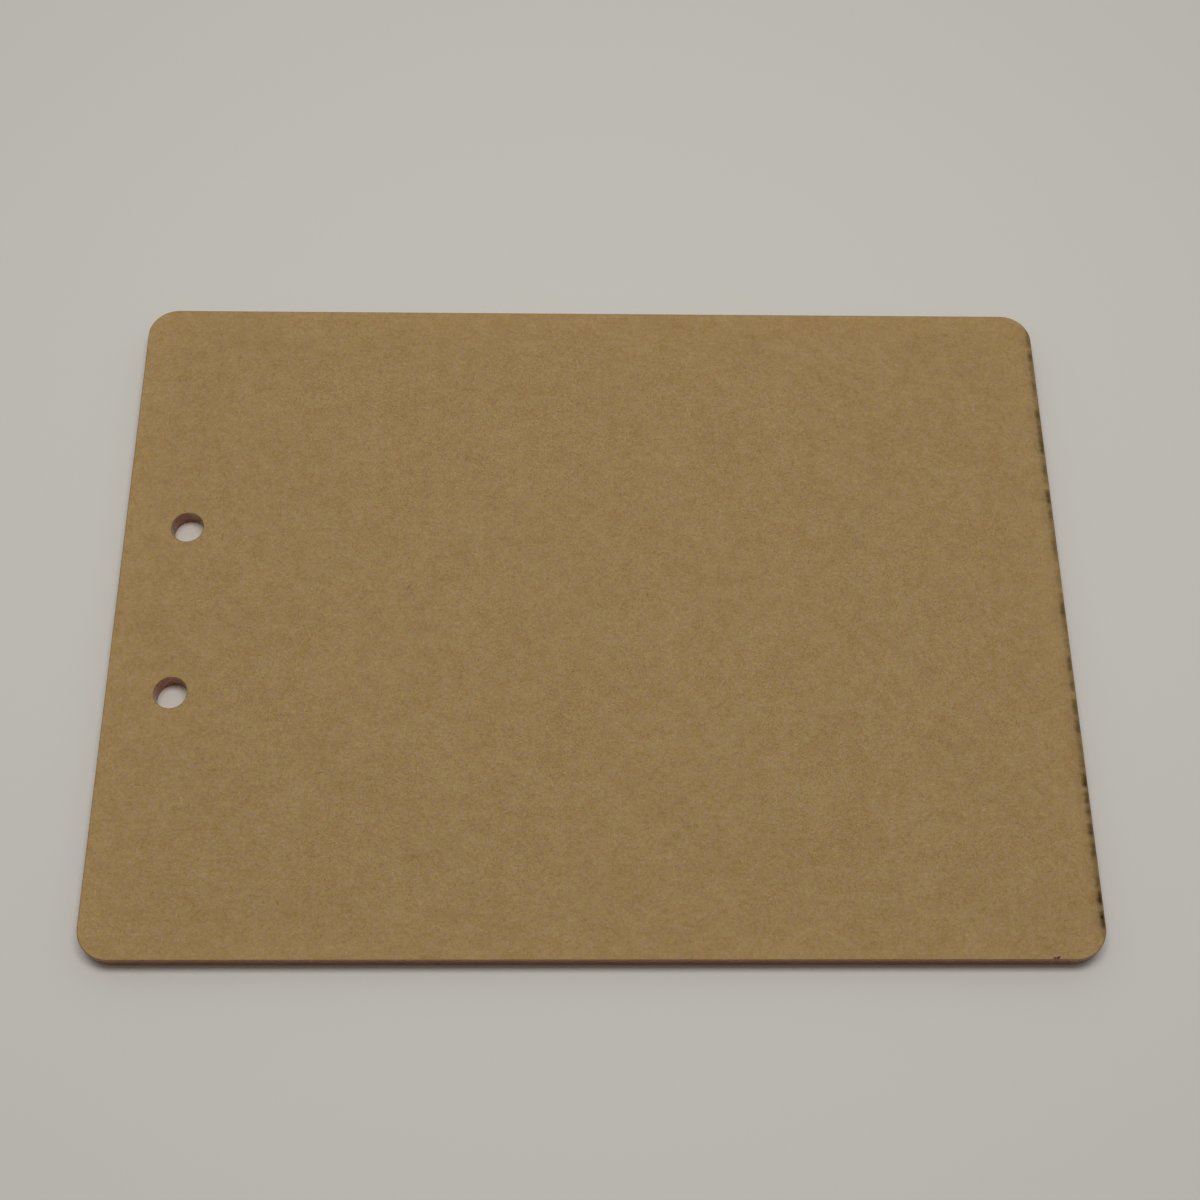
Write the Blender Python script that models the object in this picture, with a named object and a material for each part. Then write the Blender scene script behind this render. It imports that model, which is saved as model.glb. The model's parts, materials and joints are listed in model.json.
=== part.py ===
"""Board of a clipboard: a clear acrylic sheet, laser cut with rounded corners and two clip holes.
It still wears the kraft masking paper that covered both faces of the sheet when it was cut.

Units are metres and +Z is up. The board lies on its back, with the origin at the middle of the
underside, its length along X and the clip holes at the -X end.
"""

import math

import bpy

# Driving dimensions, in metres.
BOARD_LENGTH = 0.310
BOARD_WIDTH = 0.230
SHEET_THICKNESS = 0.006
CORNER_RADIUS = 0.010
HOLE_DIAMETER = 0.0105
HOLE_SPACING = 0.059
HOLE_EDGE_DISTANCE = 0.0205
PAPER_THICKNESS = 0.00012
ADHESIVE_FILM = 0.00003
# The beam burns the paper back a little further than it cuts the plastic.
PAPER_BURN_BACK = 0.00015
# Straight steps in a quarter turn of a corner or a hole.
QUARTER_STEPS = 16

# Colours as linear red, green and blue.
CLEAR_ACRYLIC = (0.92, 0.94, 0.94)
KRAFT_BROWN = (0.30, 0.20, 0.09)
ACRYLIC_IOR = 1.49

# Heights of the stack, from the surface that the board lies on.
REAR_PAPER_BOTTOM = 0.0
REAR_PAPER_TOP = REAR_PAPER_BOTTOM + PAPER_THICKNESS
SHEET_BOTTOM = REAR_PAPER_TOP + ADHESIVE_FILM
SHEET_TOP = SHEET_BOTTOM + SHEET_THICKNESS
FRONT_PAPER_BOTTOM = SHEET_TOP + ADHESIVE_FILM
FRONT_PAPER_TOP = FRONT_PAPER_BOTTOM + PAPER_THICKNESS

# The papers peel towards the clip end and let go last along their own edge there.
PEEL_LINE_X = -BOARD_LENGTH / 2 + PAPER_BURN_BACK


def principled(name, colour, roughness, transmission=0.0, ior=1.5):
    """A dielectric material."""
    material = bpy.data.materials.new(name)
    material.use_nodes = True
    shader = material.node_tree.nodes["Principled BSDF"]
    shader.inputs["Base Color"].default_value = (*colour, 1.0)
    shader.inputs["Roughness"].default_value = roughness
    shader.inputs["Metallic"].default_value = 0.0
    shader.inputs["Transmission Weight"].default_value = transmission
    shader.inputs["IOR"].default_value = ior
    return material


def arc(centre_x, centre_y, radius, first_quarter, quarters, ends_meet=False):
    """Points of an arc, counter-clockwise, its start given in quarter turns from +X."""
    steps = QUARTER_STEPS * quarters
    count = steps if ends_meet else steps + 1
    points = []
    for step in range(count):
        angle = (first_quarter + step / QUARTER_STEPS) * math.pi / 2
        points.append((centre_x + radius * math.cos(angle), centre_y + radius * math.sin(angle)))
    return points


def edge_outline(burn_back):
    """The board's outline, with its four corners rounded, drawn in by burn_back all round."""
    reach_x = BOARD_LENGTH / 2 - CORNER_RADIUS
    reach_y = BOARD_WIDTH / 2 - CORNER_RADIUS
    corners = ((reach_x, reach_y), (-reach_x, reach_y), (-reach_x, -reach_y), (reach_x, -reach_y))
    points = []
    for quarter, (x, y) in enumerate(corners):
        points += arc(x, y, CORNER_RADIUS - burn_back, quarter, 1)
    return points


def hole_outlines(burn_back):
    """The two clip holes, one each side of the long axis, opened by burn_back all round."""
    x = -BOARD_LENGTH / 2 + HOLE_EDGE_DISTANCE
    radius = HOLE_DIAMETER / 2 + burn_back
    return [arc(x, side * HOLE_SPACING / 2, radius, 0, 4, ends_meet=True) for side in (1, -1)]


def cut_layer(name, bottom, top, burn_back, material, collection):
    """One flat layer of the board, from height bottom to height top, cut along outline and holes."""
    curve = bpy.data.curves.new(name, "CURVE")
    curve.dimensions = "2D"
    curve.fill_mode = "BOTH"
    curve.extrude = (top - bottom) / 2
    for points in [edge_outline(burn_back), *hole_outlines(burn_back)]:
        spline = curve.splines.new("POLY")
        spline.points.add(len(points) - 1)
        for spline_point, (x, y) in zip(spline.points, points):
            spline_point.co = (x, y, 0.0, 1.0)
        spline.use_cyclic_u = True
    curve.materials.append(material)
    layer = bpy.data.objects.new(name, curve)
    layer.location = (0.0, 0.0, (bottom + top) / 2)
    collection.objects.link(layer)
    return layer


def hang_on_peel_line(paper, height, collection):
    """An empty on the line where the paper turns as it is peeled, on the paper's outer face."""
    line = bpy.data.objects.new(paper.name + "_peel_line", None)
    line.location = (PEEL_LINE_X, 0.0, height)
    collection.objects.link(line)
    paper.parent = line
    paper.location -= line.location


for old_object in list(bpy.data.objects):
    bpy.data.objects.remove(old_object)

board_parts = bpy.data.collections.new("clipboard_board")
bpy.context.scene.collection.children.link(board_parts)

acrylic = principled("clear_acrylic", CLEAR_ACRYLIC, 0.04, 1.0, ACRYLIC_IOR)
front_kraft = principled("front_kraft_paper", KRAFT_BROWN, 0.85)
rear_kraft = principled("rear_kraft_paper", KRAFT_BROWN, 0.85)

cut_layer("acrylic_board", SHEET_BOTTOM, SHEET_TOP, 0.0, acrylic, board_parts)

front_paper = cut_layer(
    "front_masking_paper", FRONT_PAPER_BOTTOM, FRONT_PAPER_TOP, PAPER_BURN_BACK, front_kraft, board_parts
)
hang_on_peel_line(front_paper, FRONT_PAPER_TOP, board_parts)

rear_paper = cut_layer(
    "rear_masking_paper", REAR_PAPER_BOTTOM, REAR_PAPER_TOP, PAPER_BURN_BACK, rear_kraft, board_parts
)
hang_on_peel_line(rear_paper, REAR_PAPER_BOTTOM, board_parts)
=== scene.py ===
"""Looks of a clipboard's board: clear acrylic, laser cut, still in the kraft masking paper of both faces.

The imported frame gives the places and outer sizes. Lengths are in metres, +Z is up, and the board lies
on its back with its clip holes at the -X end.
"""

import json
import math

import bpy
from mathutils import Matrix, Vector, noise


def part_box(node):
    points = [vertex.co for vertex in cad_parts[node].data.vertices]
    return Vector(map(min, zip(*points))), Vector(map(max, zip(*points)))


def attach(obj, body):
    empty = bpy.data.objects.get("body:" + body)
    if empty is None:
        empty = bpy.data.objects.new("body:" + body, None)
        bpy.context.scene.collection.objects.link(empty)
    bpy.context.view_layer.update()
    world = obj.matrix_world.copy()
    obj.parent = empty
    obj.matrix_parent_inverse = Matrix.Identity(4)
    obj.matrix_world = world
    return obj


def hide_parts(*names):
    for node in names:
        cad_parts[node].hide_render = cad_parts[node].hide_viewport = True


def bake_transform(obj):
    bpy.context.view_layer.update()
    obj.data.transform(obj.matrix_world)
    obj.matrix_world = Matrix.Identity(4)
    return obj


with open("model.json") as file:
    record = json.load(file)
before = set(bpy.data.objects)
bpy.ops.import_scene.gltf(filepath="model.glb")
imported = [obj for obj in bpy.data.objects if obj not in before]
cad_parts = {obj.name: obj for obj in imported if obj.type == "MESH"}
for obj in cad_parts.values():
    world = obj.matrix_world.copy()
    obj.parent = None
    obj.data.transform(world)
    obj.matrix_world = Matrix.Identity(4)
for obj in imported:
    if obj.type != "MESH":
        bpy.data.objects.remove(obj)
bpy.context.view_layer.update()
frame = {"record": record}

# Clear sheet
# One sheet of clear cast acrylic, polished as cast, laser cut to a rounded outline with two clip holes.
# The beam leaves upright walls, melted glossy with fine streaks and browned amber by smoke, a line of
# soot on the rims where it burnt the paper back, and a small bite where the cut started and closed.
corner_radius = 0.010
corner_steps = 32
hole_radius = 0.00525
hole_steps = 128
start_bite_x = 0.1393
sheet_bite_radius = 0.00025
# Steps round a corner or a hole turn less than this and are shaded round. The rims turn more.
round_step = math.radians(15)
beam_length = 0.1
soot_width = 0.00016
soot_brown = (0.190, 0.110, 0.050, 1.0)
soot_roughness = 0.9
soot_specular = 0.05
acrylic_ior = 1.49
acrylic_tint = (0.965, 0.980, 0.978, 1.0)
smoked_tint = (0.990, 0.480, 0.110, 1.0)
cut_wall_roughness = 0.14
streak_width = 0.00035
streak_height = 0.012
streak_depth = 0.000004
streak_detail = 2.0
streak_roughness = 0.6

sheet_low, sheet_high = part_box("acrylic_board")
hole_centres = []
for opening in frame["record"]["physics"]["openings"]:
    opening_low, opening_high = (Vector(corner) for corner in opening["box_m"])
    hole_centres.append((opening_low + opening_high) / 2)


def edit_edges(piece, chosen):
    """Opens a piece in edit mode with the edges selected that chosen(mesh, edge) is true for."""
    bpy.ops.object.select_all(action="DESELECT")
    piece.select_set(True)
    bpy.context.view_layer.objects.active = piece
    bpy.ops.object.mode_set(mode="EDIT")
    bpy.ops.mesh.select_mode(type="EDGE")
    bpy.ops.mesh.select_all(action="DESELECT")
    bpy.ops.object.mode_set(mode="OBJECT")
    for edge in piece.data.edges:
        edge.select = chosen(piece.data, edge)
    bpy.ops.object.mode_set(mode="EDIT")


def edge_run(mesh, edge):
    """The vector from one end of an edge to the other."""
    first, second = edge.vertices
    return mesh.vertices[second].co - mesh.vertices[first].co


def laser_cut_plate(name, low, high, outline_radius, clip_hole_radius, bite_radius):
    """A flat plate between two corners of its box, with round corners, clip holes and the start's bite."""
    bpy.ops.object.select_all(action="DESELECT")
    bpy.ops.mesh.primitive_cube_add(size=1.0, location=(low + high) / 2)
    plate = bpy.context.object
    plate.name = name
    plate.data.name = name
    plate.scale = high - low
    bpy.ops.object.transform_apply(location=True, rotation=True, scale=True)

    upright = (high.z - low.z) / 2
    edit_edges(plate, lambda mesh, edge: abs(edge_run(mesh, edge).z) > upright)
    bpy.ops.mesh.bevel(offset=outline_radius, segments=corner_steps, affect="EDGES")
    bpy.ops.object.mode_set(mode="OBJECT")

    cuts = [(centre.x, centre.y, clip_hole_radius) for centre in hole_centres]
    cuts.append((start_bite_x, low.y, bite_radius))
    for x, y, radius in cuts:
        bpy.ops.mesh.primitive_cylinder_add(
            vertices=hole_steps, radius=radius, depth=beam_length, location=(x, y, (low.z + high.z) / 2)
        )
        cutter = bpy.context.object
        cut = plate.modifiers.new("beam_cut", "BOOLEAN")
        cut.object = cutter
        cut.operation = "DIFFERENCE"
        bpy.context.view_layer.objects.active = plate
        bpy.ops.object.modifier_apply(modifier=cut.name)
        bpy.data.objects.remove(cutter)
    return plate


def is_wall(face):
    """True for a face that stands upright, as the beam leaves it."""
    return abs(face.normal.z) < 0.5


def add_node(tree, kind, *sources, output=0, **settings):
    """Adds a shader node, fills or links its inputs in order, and returns one of its outputs."""
    node = tree.nodes.new(kind)
    for setting, value in settings.items():
        setattr(node, setting, value)
    for socket, source in zip(node.inputs, sources):
        if isinstance(source, bpy.types.NodeSocket):
            tree.links.new(source, socket)
        elif source is not None:
            socket.default_value = source
    return node.outputs[output]


def new_material(name):
    """A material with its node tree and its one shader."""
    material = bpy.data.materials.new(name)
    material.use_nodes = True
    return material, material.node_tree, material.node_tree.nodes["Principled BSDF"]


def clear_acrylic(name, tint, roughness):
    """Clear cast acrylic."""
    material, tree, shader = new_material(name)
    shader.inputs["Base Color"].default_value = tint
    shader.inputs["Roughness"].default_value = roughness
    shader.inputs["Transmission Weight"].default_value = 1.0
    shader.inputs["IOR"].default_value = acrylic_ior
    return material, tree, shader


cast_face, _, _ = clear_acrylic("acrylic_cast_face", acrylic_tint, 0.0)

cut_wall, wall_tree, wall_shader = clear_acrylic("acrylic_cut_wall", smoked_tint, cut_wall_roughness)
wall_place = add_node(wall_tree, "ShaderNodeTexCoord", output=3)
streak_fineness = (1 / streak_width, 1 / streak_width, 1 / streak_height)
wall_streaks = add_node(
    wall_tree, "ShaderNodeVectorMath", wall_place, streak_fineness, operation="MULTIPLY"
)
wall_ripple = add_node(
    wall_tree, "ShaderNodeTexNoise", wall_streaks, None, 1.0, streak_detail, streak_roughness
)
wall_bump = wall_tree.nodes.new("ShaderNodeBump")
wall_bump.inputs["Distance"].default_value = streak_depth
wall_tree.links.new(wall_ripple, wall_bump.inputs["Height"])
wall_tree.links.new(wall_bump.outputs["Normal"], wall_shader.inputs["Normal"])

sooty_rim, _, soot_shader = new_material("acrylic_sooty_rim")
soot_shader.inputs["Base Color"].default_value = soot_brown
soot_shader.inputs["Roughness"].default_value = soot_roughness
soot_shader.inputs["Specular IOR Level"].default_value = soot_specular

clear_sheet = laser_cut_plate(
    "clear_sheet", sheet_low, sheet_high, corner_radius, hole_radius, sheet_bite_radius
)
# The inset leaves the faces inside the rims selected.
edit_edges(clear_sheet, lambda mesh, edge: False)
bpy.ops.mesh.select_mode(type="FACE")
bpy.ops.object.mode_set(mode="OBJECT")
for sheet_face in clear_sheet.data.polygons:
    sheet_face.select = not is_wall(sheet_face)
bpy.ops.object.mode_set(mode="EDIT")
bpy.ops.mesh.inset(thickness=soot_width)
bpy.ops.object.mode_set(mode="OBJECT")
bpy.ops.object.shade_smooth_by_angle(angle=round_step)
clear_sheet.data.materials.append(cast_face)
clear_sheet.data.materials.append(cut_wall)
clear_sheet.data.materials.append(sooty_rim)
for sheet_face in clear_sheet.data.polygons:
    if is_wall(sheet_face):
        sheet_face.material_index = 1
    else:
        sheet_face.material_index = 0 if sheet_face.select else 2

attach(clear_sheet, "board")
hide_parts("acrylic_board")

# Rear masking paper
# Unbleached kraft paper with a low-tack coating on its inner side, rolled onto the sheet at the works to
# keep its polish from scratches. It was cut by the same beam, which toasts a thin line along each edge.
wetting = 0.00002
paper_bite_radius = 0.00025
kraft_warm = (0.500, 0.371, 0.194, 1.0)
kraft_olive = (0.480, 0.370, 0.156, 1.0)
toasted_kraft = (0.120, 0.072, 0.028, 1.0)
fibre_brown = (0.075, 0.045, 0.020, 1.0)
toasted_width = 0.00025
toasting = 0.5
tone_fineness = 450.0
tone_warm_at = 0.35
tone_olive_at = 0.65
tooth_depth = 0.00003
# Light clouds of the pulp are a little less rough than dark ones.
kraft_roughness = 1.12
cloud_smoothing = -0.3
kraft_specular = 0.1
coating_tint = (0.750, 0.485, 0.225, 1.0)
smear_fineness = 120.0
smear_swing = 0.3
coating_roughness = 0.35
coating_specular = 0.4
# Pulp lets some of the light through, redder than what it sends back.
pulp_share = 0.55
pulp_glow = (0.94, 0.68, 0.32, 1.0)
coating_share = 0.6
coating_glow = (0.92, 0.74, 0.48, 1.0)
# Clouding of the pulp: the size of the clouds, and how far they lighten or darken the paper.
pulp_clouds = ((0.0006, 0.88), (0.0014, 0.48), (0.0045, 0.36), (0.018, 0.18))
# Dark clouds are redder than light ones: how far red, green and blue each follow the clouding.
cloud_follow = Vector((0.70, 0.95, 1.30))
# Fibres in the pulp: spacing, half length, half width, share of the spaces that hold one, and darkness.
pulp_fibres = (
    (0.0022, 0.0011, 0.00009, 0.80, 0.22),
    (0.0120, 0.0016, 0.00012, 0.35, 0.50),
    (0.0150, 0.0003, 0.00020, 0.40, 0.60),
)
fibre_most_bend = 3.0
rear_low, rear_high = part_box("rear_masking_paper")
burn_back = rear_low.x - sheet_low.x
paper_corner = corner_radius - burn_back
paper_hole = hole_radius + burn_back


def maths(tree, operation, *sources):
    """One arithmetic step on numbers."""
    return add_node(tree, "ShaderNodeMath", *sources, operation=operation)


def vector_maths(tree, operation, *sources, output=0):
    """One arithmetic step on vectors. Output 1 holds a length or a distance."""
    return add_node(tree, "ShaderNodeVectorMath", *sources, output=output, operation=operation)


def fade(tree, value, none_at, full_at):
    """0 where value is none_at, rising smoothly to 1 where it is full_at."""
    return add_node(
        tree, "ShaderNodeMapRange", value, none_at, full_at, 0.0, 1.0, interpolation_type="SMOOTHSTEP"
    )


def mix_colour(tree, amount, first, second):
    """The first colour, going over to the second as amount goes from 0 to 1."""
    unused = (None,) * 5
    return add_node(tree, "ShaderNodeMix", amount, *unused, first, second, output=2, data_type="RGBA")


def fibre_stroke(tree, local, bend):
    """1 on a bent stroke that spans -1 to 1 in X and Y of local, fading to 0 at its ends and sides."""
    axes = add_node(tree, "ShaderNodeSeparateXYZ", local).node.outputs
    bow = maths(tree, "MULTIPLY", axes["X"], axes["X"])
    across = maths(tree, "MULTIPLY_ADD", bow, bend, axes["Y"])
    ends = fade(tree, maths(tree, "ABSOLUTE", axes["X"]), 1.0, 0.6)
    sides = fade(tree, maths(tree, "ABSOLUTE", across), 1.0, 0.2)
    return maths(tree, "MULTIPLY", ends, sides)


def scattered_fibres(tree, pulp, spacing, half_length, half_width, share):
    """Fibres strewn over the sheet, at most one to a cell, each lying its own way."""
    cells = add_node(
        tree, "ShaderNodeTexVoronoi", pulp, None, 1 / spacing, voronoi_dimensions="2D"
    ).node.outputs
    lots = add_node(tree, "ShaderNodeSeparateColor", cells["Color"]).node.outputs
    local = vector_maths(tree, "SUBTRACT", pulp, cells["Position"])
    heading = maths(tree, "MULTIPLY", lots["Red"], 2 * math.pi)
    turned = add_node(tree, "ShaderNodeVectorRotate", local, rotation_type="Z_AXIS")
    tree.links.new(heading, turned.node.inputs["Angle"])
    sized = vector_maths(tree, "MULTIPLY", turned, (1 / half_length, 1 / half_width, 0.0))
    bend = maths(tree, "MULTIPLY_ADD", lots["Blue"], 2 * fibre_most_bend, -fibre_most_bend)
    stroke = fibre_stroke(tree, sized, bend)
    return maths(tree, "MULTIPLY", stroke, fade(tree, lots["Green"], share, share / 2))


def distance_to_cut(tree, flat):
    """How far a place on the paper is from the nearest cut, the outline's or a clip hole's."""
    half = (rear_high - rear_low) / 2
    straight = (half.x - paper_corner, half.y - paper_corner, 0.0)
    beyond = vector_maths(tree, "SUBTRACT", vector_maths(tree, "ABSOLUTE", flat), straight)
    round_reach = vector_maths(
        tree, "LENGTH", vector_maths(tree, "MAXIMUM", beyond, (0.0, 0.0, 0.0)), output=1
    )
    axes = add_node(tree, "ShaderNodeSeparateXYZ", beyond).node.outputs
    flat_reach = maths(tree, "MINIMUM", maths(tree, "MAXIMUM", axes["X"], axes["Y"]), 0.0)
    nearest = maths(tree, "SUBTRACT", paper_corner, maths(tree, "ADD", round_reach, flat_reach))
    for centre in hole_centres:
        from_centre = vector_maths(tree, "DISTANCE", flat, (centre.x, centre.y, 0.0), output=1)
        nearest = maths(tree, "MINIMUM", nearest, maths(tree, "SUBTRACT", from_centre, paper_hole))
    return nearest


def cloudiness(tree, pulp):
    """How light the pulp is at each place, around 1."""
    light = 1.0 - sum(swing for size, swing in pulp_clouds) / 2
    for size, swing in pulp_clouds:
        cloud = add_node(tree, "ShaderNodeTexNoise", pulp, None, 1 / size, 1.0, 0.5)
        light = maths(tree, "MULTIPLY_ADD", cloud, swing, light)
    return light


def finish_paper(tree, shader, colour, share, glow):
    """Gives the face its colour, and lets a share of the light through it, scattered and tinted."""
    tree.links.new(colour, shader.inputs["Base Color"])
    through = add_node(tree, "ShaderNodeBsdfTranslucent", glow)
    both = add_node(tree, "ShaderNodeMixShader", share, shader.outputs[0], through)
    tree.links.new(both, tree.nodes["Material Output"].inputs["Surface"])


def kraft_face(name, shift):
    """The outer face of the paper. Returns the material, its tree and shader, flat places and colour."""
    material, tree, shader = new_material(name)
    laid_flat = add_node(tree, "ShaderNodeAttribute", output=1, attribute_name="laid_flat")
    flat = vector_maths(tree, "MULTIPLY", laid_flat, (1.0, 1.0, 0.0))
    pulp = vector_maths(tree, "ADD", flat, shift)
    tone = add_node(tree, "ShaderNodeTexNoise", pulp, None, tone_fineness, 2.0, 0.6)
    colour = mix_colour(tree, fade(tree, tone, tone_warm_at, tone_olive_at), kraft_warm, kraft_olive)
    light = cloudiness(tree, pulp)
    clouds = vector_maths(tree, "MULTIPLY_ADD", light, cloud_follow, Vector((1.0, 1.0, 1.0)) - cloud_follow)
    colour = vector_maths(tree, "MULTIPLY", colour, clouds)
    for spacing, half_length, half_width, share, darkness in pulp_fibres:
        fibres = scattered_fibres(tree, pulp, spacing, half_length, half_width, share)
        colour = mix_colour(tree, maths(tree, "MULTIPLY", fibres, darkness), colour, fibre_brown)
    toast = fade(tree, distance_to_cut(tree, flat), toasted_width, 0.0)
    colour = mix_colour(tree, maths(tree, "MULTIPLY", toast, toasting), colour, toasted_kraft)
    bump = tree.nodes.new("ShaderNodeBump")
    bump.inputs["Distance"].default_value = tooth_depth
    tree.links.new(light, bump.inputs["Height"])
    tree.links.new(bump.outputs["Normal"], shader.inputs["Normal"])
    roughness = maths(tree, "MULTIPLY_ADD", light, cloud_smoothing, kraft_roughness)
    tree.links.new(roughness, shader.inputs["Roughness"])
    shader.inputs["Specular IOR Level"].default_value = kraft_specular
    return material, tree, shader, flat, colour


def coated_face(name, shift):
    """The inner face of the paper, with its low-tack coating."""
    material, tree, shader = new_material(name)
    laid_flat = add_node(tree, "ShaderNodeAttribute", output=1, attribute_name="laid_flat")
    pulp = vector_maths(tree, "ADD", laid_flat, shift)
    light = cloudiness(tree, pulp)
    colour = add_node(tree, "ShaderNodeVectorMath", coating_tint[:3], operation="SCALE")
    tree.links.new(light, colour.node.inputs["Scale"])
    smear = add_node(tree, "ShaderNodeTexNoise", pulp, None, smear_fineness, 3.0, 0.6)
    roughness = maths(tree, "MULTIPLY_ADD", smear, smear_swing, coating_roughness)
    tree.links.new(roughness, shader.inputs["Roughness"])
    shader.inputs["Specular IOR Level"].default_value = coating_specular
    finish_paper(tree, shader, colour, coating_share, coating_glow)
    return material


def masking_paper(name, low, high, outer_face, inner_face, outward):
    """One masking paper, cut with the sheet, with its outer and inner faces and its toasted rim."""
    paper = laser_cut_plate(name, low, high, paper_corner, paper_hole, paper_bite_radius)
    paper.data.materials.append(outer_face)
    paper.data.materials.append(inner_face)
    for face in paper.data.polygons:
        face.material_index = 1 if face.normal.z * outward < -0.5 else 0
    return paper


def keep_flat_place(paper):
    """Keeps each point's place on the flat sheet, so that the pulp stays with the paper as it bends."""
    flat_place = paper.data.attributes.new("laid_flat", "FLOAT_VECTOR", "POINT")
    for kept, vertex in zip(flat_place.data, paper.data.vertices):
        kept.vector = vertex.co


rear_shift = (3.7, 1.9, 0.0)
rear_face, rear_tree, rear_shader, _, rear_colour = kraft_face("kraft_rear_face", rear_shift)
finish_paper(rear_tree, rear_shader, rear_colour, pulp_share, pulp_glow)
rear_coating = coated_face("kraft_rear_coating", rear_shift)
# The coating wets the sheet, so the paper's inner face lies a hair inside it, with no air between.
rear_inner = Vector((rear_high.x, rear_high.y, sheet_low.z + wetting))
rear_paper = masking_paper("rear_paper", rear_low, rear_inner, rear_face, rear_coating, -1)
keep_flat_place(rear_paper)

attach(rear_paper, "rear_paper")
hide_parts("rear_masking_paper")

# Front masking paper
# The same kraft paper on the front face. The beam's flare has scorched it in dabs along the far short
# edge, and charred it where the cut started. It peels off towards the clip holes and lets go there last.
front_low, front_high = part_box("front_masking_paper")
scorched_kraft = (0.066, 0.028, 0.004, 1.0)
char_brown = (0.012, 0.008, 0.005, 1.0)
scorch_reach = 0.0027
scorch_start = 0.0004
scorch_wander = 0.0014
smoke_streak = (250.0, 600.0, 0.0)
smoke_swing = 0.5
ashen_width = 0.0006
ashen_loss = 0.3
halo_reach = 0.0055
halo_darkness = 0.30
between_marks = 0.42
# Burnt spots where the cut started, which let less light through: place along the edge and in from it,
# half lengths, and colour.
burn_dimming = 0.5
start_burns = (
    (-0.0009, 0.00035, 0.00065, 0.00038, (0.210, 0.090, 0.044, 1.0)),
    (0.0000, 0.00045, 0.00055, 0.00042, (0.064, 0.046, 0.019, 1.0)),
    (0.0005, 0.00075, 0.00042, 0.00030, (0.130, 0.088, 0.034, 1.0)),
)
bend_length = 0.013
bend_cuts = 18
edge_cuts = 320
eaten_depth = 0.00012
eaten_fineness = 1500.0
corner_clearance = 0.0005
on_edge = 1e-6
# Scorch marks along the edge: the middle of each, its length, and how dark it is.
scorch_marks = (
    (0.1045, 0.005, 0.55), (0.1010, 0.002, 0.20), (0.0980, 0.005, 0.70), (0.0920, 0.006, 0.45),
    (0.0855, 0.005, 0.55), (0.0800, 0.005, 0.25), (0.0740, 0.006, 0.70), (0.0680, 0.006, 0.65),
    (0.0615, 0.007, 0.80), (0.0530, 0.006, 0.60), (0.0465, 0.003, 0.15), (0.0420, 0.006, 0.80),
    (0.0360, 0.004, 0.60), (0.0315, 0.004, 0.40), (0.0235, 0.006, 0.55), (0.0160, 0.007, 0.15),
    (0.0105, 0.004, 0.30), (0.0075, 0.002, 0.15), (0.0005, 0.007, 0.75), (-0.0050, 0.003, 0.45),
    (-0.0085, 0.003, 0.30), (-0.0115, 0.003, 0.40), (-0.0145, 0.003, 0.25), (-0.0190, 0.006, 0.65),
    (-0.0260, 0.004, 0.60), (-0.0295, 0.003, 0.20), (-0.0340, 0.006, 0.65), (-0.0405, 0.006, 0.70),
    (-0.0475, 0.004, 0.50), (-0.0525, 0.005, 0.55), (-0.0585, 0.006, 0.90), (-0.0640, 0.006, 0.80),
    (-0.0685, 0.004, 0.70), (-0.0745, 0.006, 0.75), (-0.0810, 0.006, 0.80), (-0.0860, 0.003, 0.45),
    (-0.0910, 0.005, 0.70), (-0.0960, 0.006, 0.95), (-0.1025, 0.006, 0.95),
)
# The few dark fibres that stand out on this sheet: place, half length and heading in degrees.
dark_fibres = (
    (-0.0855, -0.0562, 0.0022, 14.0), (-0.0604, 0.0080, 0.0013, 65.0), (-0.0426, 0.0561, 0.0017, 50.0),
    (0.1103, -0.0384, 0.0010, -45.0), (-0.0959, -0.0973, 0.0012, -50.0), (0.1025, -0.0632, 0.0011, -60.0),
    (0.0162, -0.0742, 0.0012, 20.0), (-0.0612, -0.1115, 0.0012, 75.0), (0.0180, 0.0054, 0.0006, 15.0),
    (-0.0943, 0.0496, 0.0005, 0.0), (-0.0615, 0.0466, 0.0005, 40.0), (-0.1001, -0.0973, 0.0006, 85.0),
    (0.1211, -0.0139, 0.0005, 70.0), (0.0768, -0.0122, 0.0006, 0.0), (0.0498, 0.0048, 0.0005, -30.0),
    (-0.1412, -0.0603, 0.0005, 10.0), (0.1430, -0.1030, 0.0008, 5.0),
)
dark_fibre_half_width = 0.00014
dark_fibre_strength = 0.8

front_shift = (0.0, 0.0, 0.0)
front_face, front_tree, front_shader, front_flat, front_colour = kraft_face("kraft_front_face", front_shift)
front_coating = coated_face("kraft_front_coating", front_shift)

for fibre_x, fibre_y, half_length, heading in dark_fibres:
    fibre_local = add_node(
        front_tree, "ShaderNodeMapping", front_flat, (fibre_x, fibre_y, 0.0),
        (0.0, 0.0, math.radians(heading)), (half_length, dark_fibre_half_width, 1.0), vector_type="TEXTURE",
    )
    fibre = maths(front_tree, "MULTIPLY", fibre_stroke(front_tree, fibre_local, 1.0), dark_fibre_strength)
    front_colour = mix_colour(front_tree, fibre, front_colour, fibre_brown)

front_axes = add_node(front_tree, "ShaderNodeSeparateXYZ", front_flat).node.outputs
edge_span = front_high.y - front_low.y
along_edge = add_node(
    front_tree, "ShaderNodeMapRange", front_axes["Y"], front_low.y, front_high.y, 0.0, 1.0
)
scorch = add_node(front_tree, "ShaderNodeFloatCurve", 1.0, along_edge)
scorch_line = scorch.node.mapping.curves[0]
scorch_line.points[0].location = (0.0, 0.0)
scorch_line.points[1].location = (1.0, 0.0)
for middle, length, darkness in scorch_marks:
    for part, value in ((-0.5, between_marks), (-0.2, darkness), (0.2, darkness), (0.5, between_marks)):
        place = middle + part * length
        scorch_line.points.new((place - front_low.y) / edge_span, value)
scorch.node.mapping.update()

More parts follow.
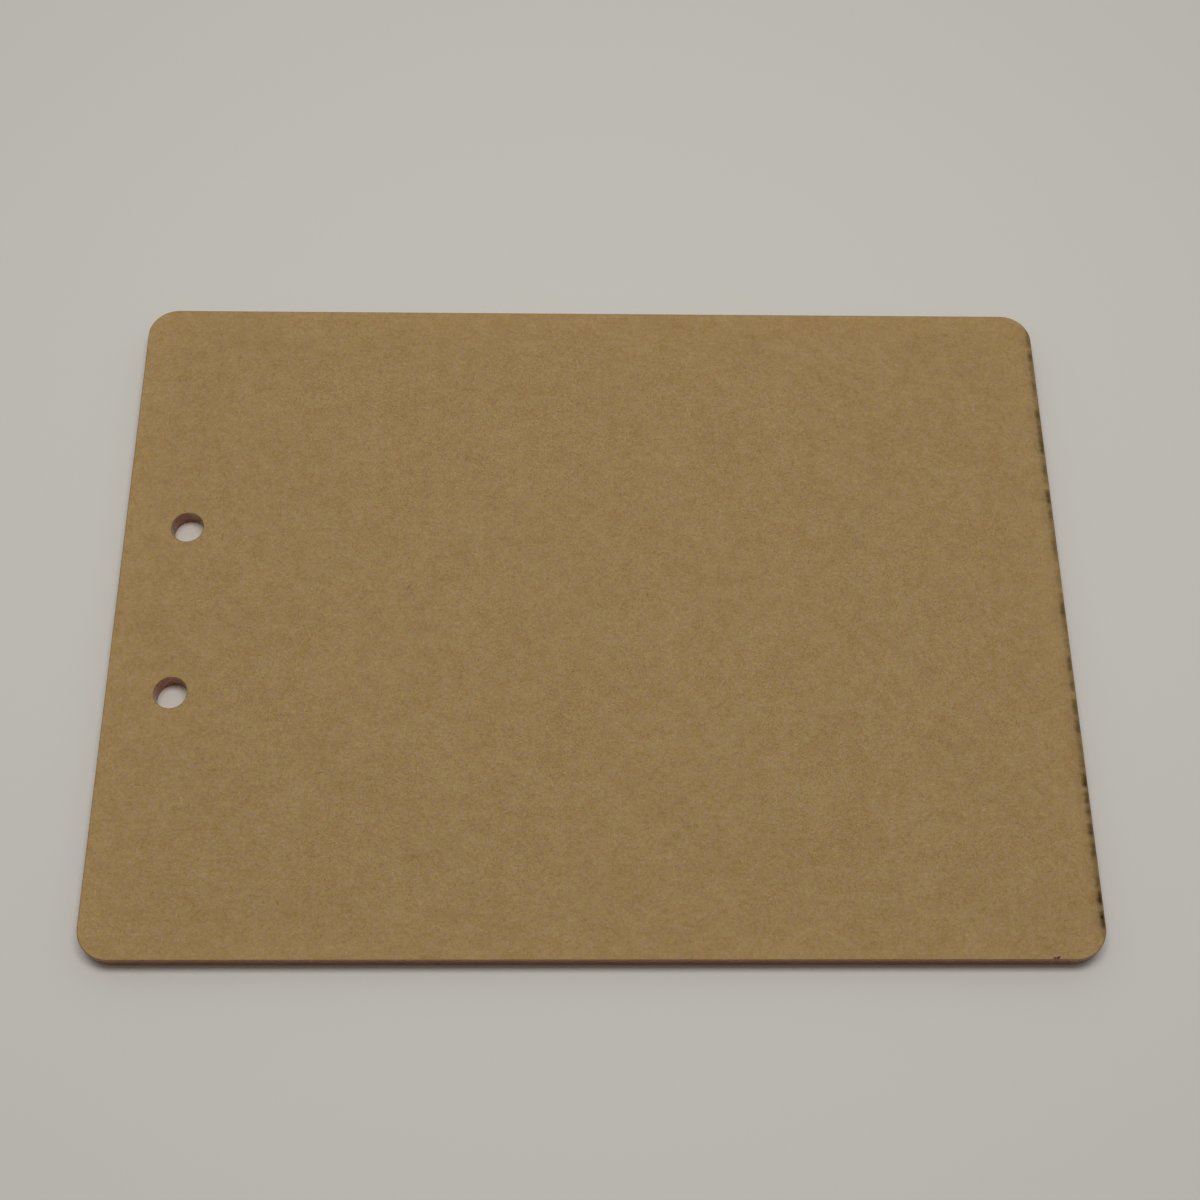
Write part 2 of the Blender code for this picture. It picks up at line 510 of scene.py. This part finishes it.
# Each mark is darkest just inside its ashen rim, streaked inwards by the flare, with a faint halo.
streaks = vector_maths(front_tree, "MULTIPLY", front_flat, smoke_streak)
smoke = add_node(front_tree, "ShaderNodeTexNoise", streaks, None, 1.0, 3.0, 0.6)
wandering = maths(front_tree, "SUBTRACT", smoke, 0.5)
inward = maths(front_tree, "SUBTRACT", front_high.x, front_axes["X"])
inward_smoke = maths(front_tree, "MULTIPLY_ADD", wandering, scorch_wander, inward)
ash = maths(front_tree, "MULTIPLY", fade(front_tree, inward, ashen_width, 0.0), ashen_loss)
burnt = maths(front_tree, "SUBTRACT", fade(front_tree, inward_smoke, scorch_reach, scorch_start), ash)
halo = maths(front_tree, "MULTIPLY", fade(front_tree, inward, halo_reach, 0.0), halo_darkness)
scorch_share = maths(front_tree, "MULTIPLY", maths(front_tree, "MAXIMUM", burnt, halo), scorch)
smoke_share = maths(front_tree, "MULTIPLY_ADD", wandering, -smoke_swing, 1.0)
scorching = maths(front_tree, "MULTIPLY", scorch_share, smoke_share)
front_colour = mix_colour(front_tree, scorching, front_colour, scorched_kraft)

burning = scorching
for burn_x, burn_in, half_length, half_width, burn_colour in start_burns:
    burn_local = add_node(
        front_tree, "ShaderNodeMapping", front_flat, (start_bite_x + burn_x, front_low.y + burn_in, 0.0),
        (0.0, 0.0, 0.0), (half_length, half_width, 1.0), vector_type="TEXTURE",
    )
    burn = fade(front_tree, vector_maths(front_tree, "LENGTH", burn_local, output=1), 1.2, 0.5)
    front_colour = mix_colour(front_tree, burn, front_colour, burn_colour)
    burning = maths(front_tree, "MAXIMUM", burning, maths(front_tree, "MULTIPLY", burn, burn_dimming))
front_glow = mix_colour(front_tree, burning, pulp_glow, char_brown)
finish_paper(front_tree, front_shader, front_colour, pulp_share, front_glow)

front_inner = Vector((front_low.x, front_low.y, sheet_high.z - wetting))
front_paper = masking_paper("front_paper", front_inner, front_high, front_face, front_coating, 1)

# Cuts across the strip that bends as the paper is peeled back.
bpy.ops.object.select_all(action="DESELECT")
front_paper.select_set(True)
bpy.context.view_layer.objects.active = front_paper
bpy.ops.object.mode_set(mode="EDIT")
for step in range(1, bend_cuts + 1):
    cut_x = front_low.x + bend_length * step / bend_cuts
    bpy.ops.mesh.select_all(action="SELECT")
    bpy.ops.mesh.bisect(plane_co=(cut_x, 0.0, front_high.z), plane_no=(1.0, 0.0, 0.0))
bpy.ops.object.mode_set(mode="OBJECT")

# The scorched edge is eaten back a little, unevenly.
reach_y = front_high.y - paper_corner - corner_clearance


def on_scorched_edge(vertex):
    """True for a point on the straight run of the far short edge."""
    return vertex.co.x > front_high.x - on_edge and abs(vertex.co.y) < reach_y


edit_edges(
    front_paper,
    lambda mesh, edge: all(mesh.vertices[index].co.x > front_high.x - on_edge for index in edge.vertices)
    and abs(edge_run(mesh, edge).y) > paper_corner,
)
bpy.ops.mesh.subdivide(number_cuts=edge_cuts)
bpy.ops.object.mode_set(mode="OBJECT")
for vertex in front_paper.data.vertices:
    if on_scorched_edge(vertex):
        dab = max(
            darkness * max(0.0, 1.0 - abs(vertex.co.y - middle) / length)
            for middle, length, darkness in scorch_marks
        )
        grain = 0.5 + 0.5 * noise.noise(Vector((vertex.co.y * eaten_fineness, 0.0, 0.0)))
        vertex.co.x -= eaten_depth * dab * grain
keep_flat_place(front_paper)

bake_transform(front_paper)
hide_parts("front_masking_paper")

# Floor, light and camera
# A plain pale floor under one wide, shallow soft box, nearly overhead and a little behind the board, in a
# room that is brighter behind the board than in front of it.
floor_drop = 0.0002
floor_size = 6.0
floor_grey = (0.50, 0.485, 0.445, 1.0)
floor_roughness = 0.7
room_light = (1.0, 0.99, 0.97, 1.0)
room_front_strength = 0.054
room_back_strength = 0.666
lamp_place = Vector((0.0, 0.138, 1.0))
lamp_width = 0.73
lamp_depth = 0.295
lamp_power = 7.0
camera_place = (-0.01013, -0.23484, 0.52368)
camera_turn = (24.73, -1.217, -0.328)
camera_lens = 52.245
nearest_seen = 0.01

bpy.ops.object.select_all(action="DESELECT")
bpy.ops.mesh.primitive_plane_add(size=floor_size, location=(0.0, 0.0, -floor_drop))
floor = bpy.context.object
floor.name = "studio_floor"
floor_material, _, floor_shader = new_material("floor_paint")
floor_shader.inputs["Base Color"].default_value = floor_grey
floor_shader.inputs["Roughness"].default_value = floor_roughness
floor.data.materials.append(floor_material)

studio = bpy.data.worlds.new("studio_room")
studio.use_nodes = True
room = studio.node_tree.nodes["Background"]
room.inputs["Color"].default_value = room_light
room_way = add_node(studio.node_tree, "ShaderNodeTexCoord", output=0)
room_axes = add_node(studio.node_tree, "ShaderNodeSeparateXYZ", room_way).node.outputs
room_strength = add_node(
    studio.node_tree, "ShaderNodeMapRange", room_axes["Y"], -1.0, 1.0, room_front_strength, room_back_strength
)
studio.node_tree.links.new(room_strength, room.inputs["Strength"])
bpy.context.scene.world = studio

bpy.ops.object.light_add(type="AREA", location=lamp_place)
lamp = bpy.context.object
lamp.rotation_euler = lamp_place.to_track_quat("Z", "Y").to_euler()
lamp.data.shape = "RECTANGLE"
lamp.data.size = lamp_width
lamp.data.size_y = lamp_depth
lamp.data.energy = lamp_power

bpy.ops.object.camera_add(location=camera_place, rotation=[math.radians(turn) for turn in camera_turn])
camera = bpy.context.object
camera.data.lens = camera_lens
camera.data.clip_start = nearest_seen
bpy.context.scene.camera = camera
bpy.context.scene.view_settings.view_transform = "Standard"
